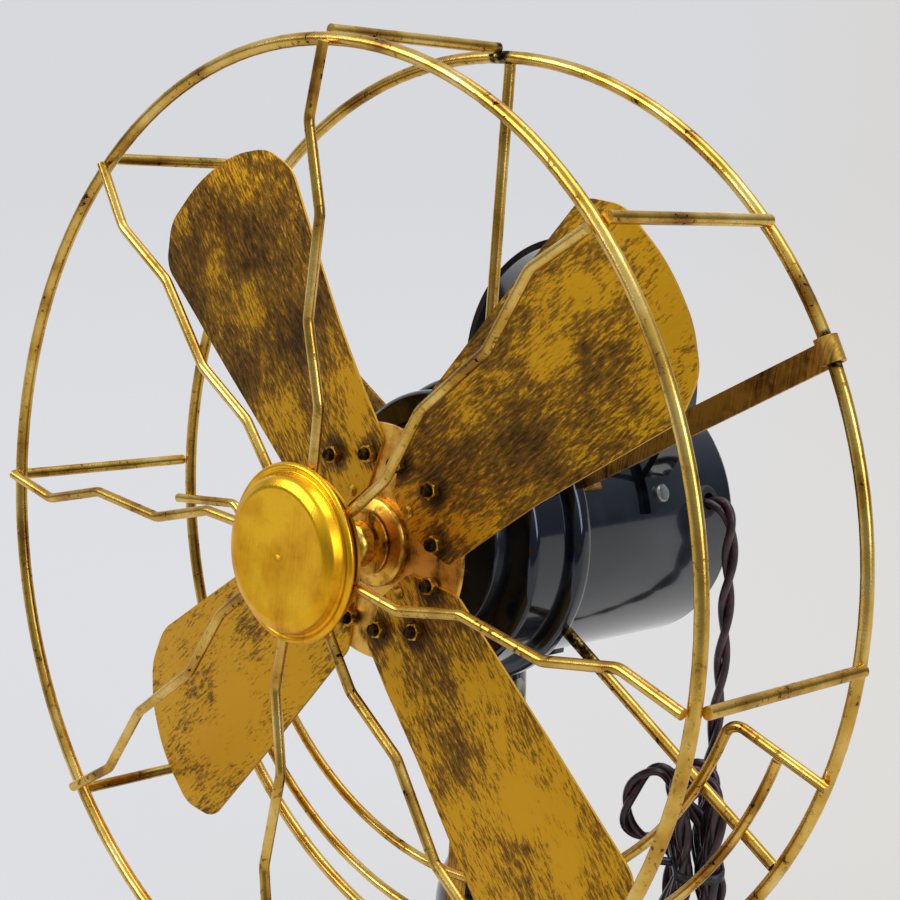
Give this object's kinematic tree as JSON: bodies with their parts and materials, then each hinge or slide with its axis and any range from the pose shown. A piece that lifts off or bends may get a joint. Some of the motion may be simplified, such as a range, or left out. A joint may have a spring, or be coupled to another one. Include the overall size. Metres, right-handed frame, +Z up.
{
  "type": "electric table fan",
  "caption": "Antique-style electric table fan: brass blades in an open wire guard, enamelled motor on a pole and bell base, with flex and plug.",
  "frame": {"origin": "middle of the felt under the base, on the axis of the pole", "axes": "+Z up the pole, -Y towards the front of the fan, +X to the right seen from the front"},
  "size_m": [0.3386, 0.264, 0.3968],
  "materials": {
    "gilt_wire": "gilded steel wire with dark rubbed patches",
    "aged_brass": "brushed sheet with a brown patina",
    "polished_brass": "polished",
    "black_enamel": "gloss stoved enamel",
    "black_cast_iron": "gloss enamel on casting",
    "zinc_steel": "zinc plated",
    "core_steel": "laminated, oiled",
    "enamelled_copper": "enamelled winding wire",
    "bearing_bronze": "sintered",
    "black_rubber": "moulded",
    "maroon_flex": "glossy insulation, two cores twisted",
    "black_tie": "plastic covered wire",
    "black_bakelite": "moulded",
    "plug_brass": "turned",
    "dark_felt": "pressed felt"
  },
  "bodies": {
    "stand": {"base_bell": "black_cast_iron", "base_plate": "zinc_steel", "base_felt": "dark_felt", "base_screws": "zinc_steel", "pole": "black_enamel", "pole_nut": "zinc_steel", "tilt_fork": "black_enamel", "tilt_bolt": "zinc_steel", "cord_drop": "maroon_flex", "cord_hank": "maroon_flex", "cord_tie": "black_tie", "cord_tail": "maroon_flex", "plug_body": "black_bakelite", "plug_pins": "plug_brass"},
    "head": {"front_ring": "gilt_wire", "rear_ring": "gilt_wire", "guard_struts": "gilt_wire", "front_wire_1": "gilt_wire", "front_wire_2": "gilt_wire", "front_wire_3": "gilt_wire", "front_wire_4": "gilt_wire", "front_wire_5": "gilt_wire", "front_wire_6": "gilt_wire", "front_wire_7": "gilt_wire", "front_wire_8": "gilt_wire", "rear_rods": "gilt_wire", "inner_arc_1": "gilt_wire", "inner_arc_2": "gilt_wire", "guard_cap": "aged_brass", "cap_back": "aged_brass", "rear_straps": "aged_brass", "motor_shell": "black_enamel", "front_bell": "black_enamel", "clamp_ring": "black_enamel", "rear_cover": "black_enamel", "carry_handle": "black_enamel", "tilt_lug": "black_enamel", "cap_screw": "zinc_steel", "cover_screws": "zinc_steel", "handle_screws": "zinc_steel", "strap_screws": "zinc_steel", "stator_core": "core_steel", "stator_coils": "enamelled_copper", "front_bearing": "bearing_bronze", "rear_bearing": "bearing_bronze", "grommet": "black_rubber"},
    "rotor": {"shaft": "core_steel", "rotor_core": "core_steel", "spider_disc": "aged_brass", "hub_boss": "aged_brass", "hub_nut": "polished_brass", "blade_1": "aged_brass", "blade_2": "aged_brass", "blade_3": "aged_brass", "blade_4": "aged_brass", "blade_bolts": "polished_brass", "blade_nuts": "polished_brass", "blade_rivets": "polished_brass"},
    "knob": {"tilt_knob": "black_bakelite"}
  },
  "joints": [
    {"name": "head_tilt", "type": "hinge", "parent": "stand", "child": "head", "pos_m": [0, 0, 0.152], "axis": [-1, 0, 0], "range_deg": [-5, 15], "deforming": ["cord_drop"]},
    {"name": "blade_spin", "type": "hinge", "parent": "head", "child": "rotor", "pos_m": [0, -0.08968, 0.23077], "axis": [0, 0.9848, -0.1736], "continuous": true},
    {"name": "knob_turn", "type": "hinge", "parent": "stand", "child": "knob", "pos_m": [-0.018, 0, 0.152], "axis": [-1, 0, 0], "range_deg": [-20, 180]}
  ]
}
